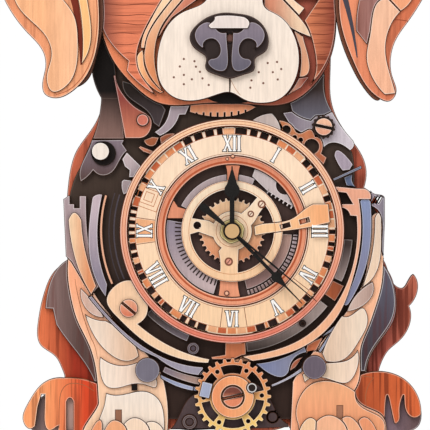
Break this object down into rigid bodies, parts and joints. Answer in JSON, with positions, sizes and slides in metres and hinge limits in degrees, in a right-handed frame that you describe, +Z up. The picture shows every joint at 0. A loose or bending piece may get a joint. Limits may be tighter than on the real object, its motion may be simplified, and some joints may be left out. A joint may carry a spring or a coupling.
{
  "type": "layered plywood puzzle clock",
  "caption": "Wall clock built as a layered plywood jigsaw of a sitting puppy, with a Roman dial, black hands, a quartz movement, cut-out gears, bolts and a turning gear between its paws.",
  "frame": {"origin": "on the hand arbor's axis, in the plane of the wall that the clock hangs on", "axes": "+Z up to the top of the head, +Y into the wall, the dial faces -Y, +X to the right as seen from the front"},
  "size_m": [0.2405, 0.0416, 0.3023],
  "materials": {
    "printed_brown": "matt printed plywood",
    "printed_dark": "matt printed plywood",
    "printed_cream": "matt printed plywood",
    "printed_peach": "matt printed plywood",
    "printed_orange": "matt printed plywood",
    "printed_slate": "matt printed plywood",
    "printed_blue": "matt printed plywood",
    "printed_lilac": "matt printed plywood",
    "printed_dial": "matt printed plywood",
    "plain_ply": "bare birch plywood",
    "case_plastic": "moulded, fine texture",
    "natural_plastic": "moulded acetal",
    "brass": "turned",
    "black_metal": "matt black",
    "bolt_cream": "matt printed plywood",
    "cell_jacket": "printed steel jacket",
    "contact_steel": "nickel plated",
    "board_green": "glass-fibre board",
    "coil_copper": "enamelled copper wire"
  },
  "bodies": {
    "clock_frame": {"back_plate": "printed_brown", "battery": "cell_jacket", "battery_contacts": "contact_steel", "bezel_arms": "printed_peach", "blue_strips": "printed_blue", "bushing_nut": "brass", "centre_gear": "printed_orange", "chapter_ring": "printed_dial", "cheek_plates": "printed_orange", "chest_panel": "printed_dark", "circuit_board": "board_green", "collar_ruler": "printed_dark", "copper_links": "printed_orange", "dial_arm": "printed_peach", "dial_backing": "printed_dark", "dial_sectors": "printed_peach", "drive_coil": "coil_copper", "ear_backings": "printed_dark", "ear_panels": "printed_peach", "ears": "printed_orange", "eyes": "printed_dark", "face_strips": "printed_slate", "front_legs": "printed_peach", "front_toes": "printed_peach", "gear_backplate": "printed_slate", "gear_pin": "bolt_cream", "haunches": "printed_brown", "head_plate": "printed_brown", "hind_feet": "printed_orange", "hind_inserts": "printed_slate", "hour_numerals": "printed_cream", "inner_bezel": "printed_dial", "knee_caps": "printed_slate", "leg_panels": "printed_cream", "light_inlays": "printed_lilac", "movement_back_cover": "case_plastic", "movement_case": "case_plastic", "muzzle": "printed_cream", "nose_base": "printed_dark", "nose_plates": "printed_slate", "outer_bezel": "printed_peach", "rear_spacers": "plain_ply", "shoulder_plates": "printed_slate", "side_plates": "printed_slate", "skeleton_ring": "printed_dark", "slotted_bolts": "bolt_cream", "tail_plate": "printed_brown", "threaded_bushing": "brass", "train_plates": "natural_plastic"},
    "hour": {"hour_arbor": "natural_plastic", "hour_hand": "black_metal"},
    "minute": {"minute_arbor": "brass", "minute_hand": "black_metal"},
    "second": {"second_arbor": "contact_steel", "second_hand": "black_metal", "centre_cap": "brass"},
    "work_wheel": {"motion_work_wheel": "natural_plastic"},
    "knob": {"setting_knob": "case_plastic"},
    "drive": {"drive_gear": "printed_orange", "gear_hub": "printed_peach"}
  },
  "joints": [
    {"name": "minute_hand_spin", "type": "hinge", "parent": "clock_frame", "child": "minute", "pos_m": [0, -0.0372, 0], "axis": [0, 1, 0], "continuous": true},
    {"name": "hour_hand_spin", "type": "hinge", "parent": "clock_frame", "child": "hour", "pos_m": [0, -0.0356, 0], "axis": [0, 1, 0], "continuous": true},
    {"name": "motion_wheel_spin", "type": "hinge", "parent": "clock_frame", "child": "work_wheel", "pos_m": [0, -0.013, 0.012], "axis": [0, 1, 0], "continuous": true},
    {"name": "setting_knob_spin", "type": "hinge", "parent": "clock_frame", "child": "knob", "pos_m": [0.01039, -0.002, 0.018], "axis": [0, 1, 0], "continuous": true},
    {"name": "second_hand_spin", "type": "hinge", "parent": "clock_frame", "child": "second", "pos_m": [0, -0.0387, 0], "axis": [0, 1, 0], "continuous": true},
    {"name": "drive_gear_spin", "type": "hinge", "parent": "clock_frame", "child": "drive", "pos_m": [0.0004, -0.029, -0.091], "axis": [0, 1, 0], "continuous": true}
  ],
  "couplings": [
    {"joint": "hour_hand_spin", "follows": "minute_hand_spin", "ratio": 0.083333},
    {"joint": "motion_wheel_spin", "follows": "minute_hand_spin", "ratio": -0.33333},
    {"joint": "setting_knob_spin", "follows": "minute_hand_spin", "ratio": 1}
  ]
}
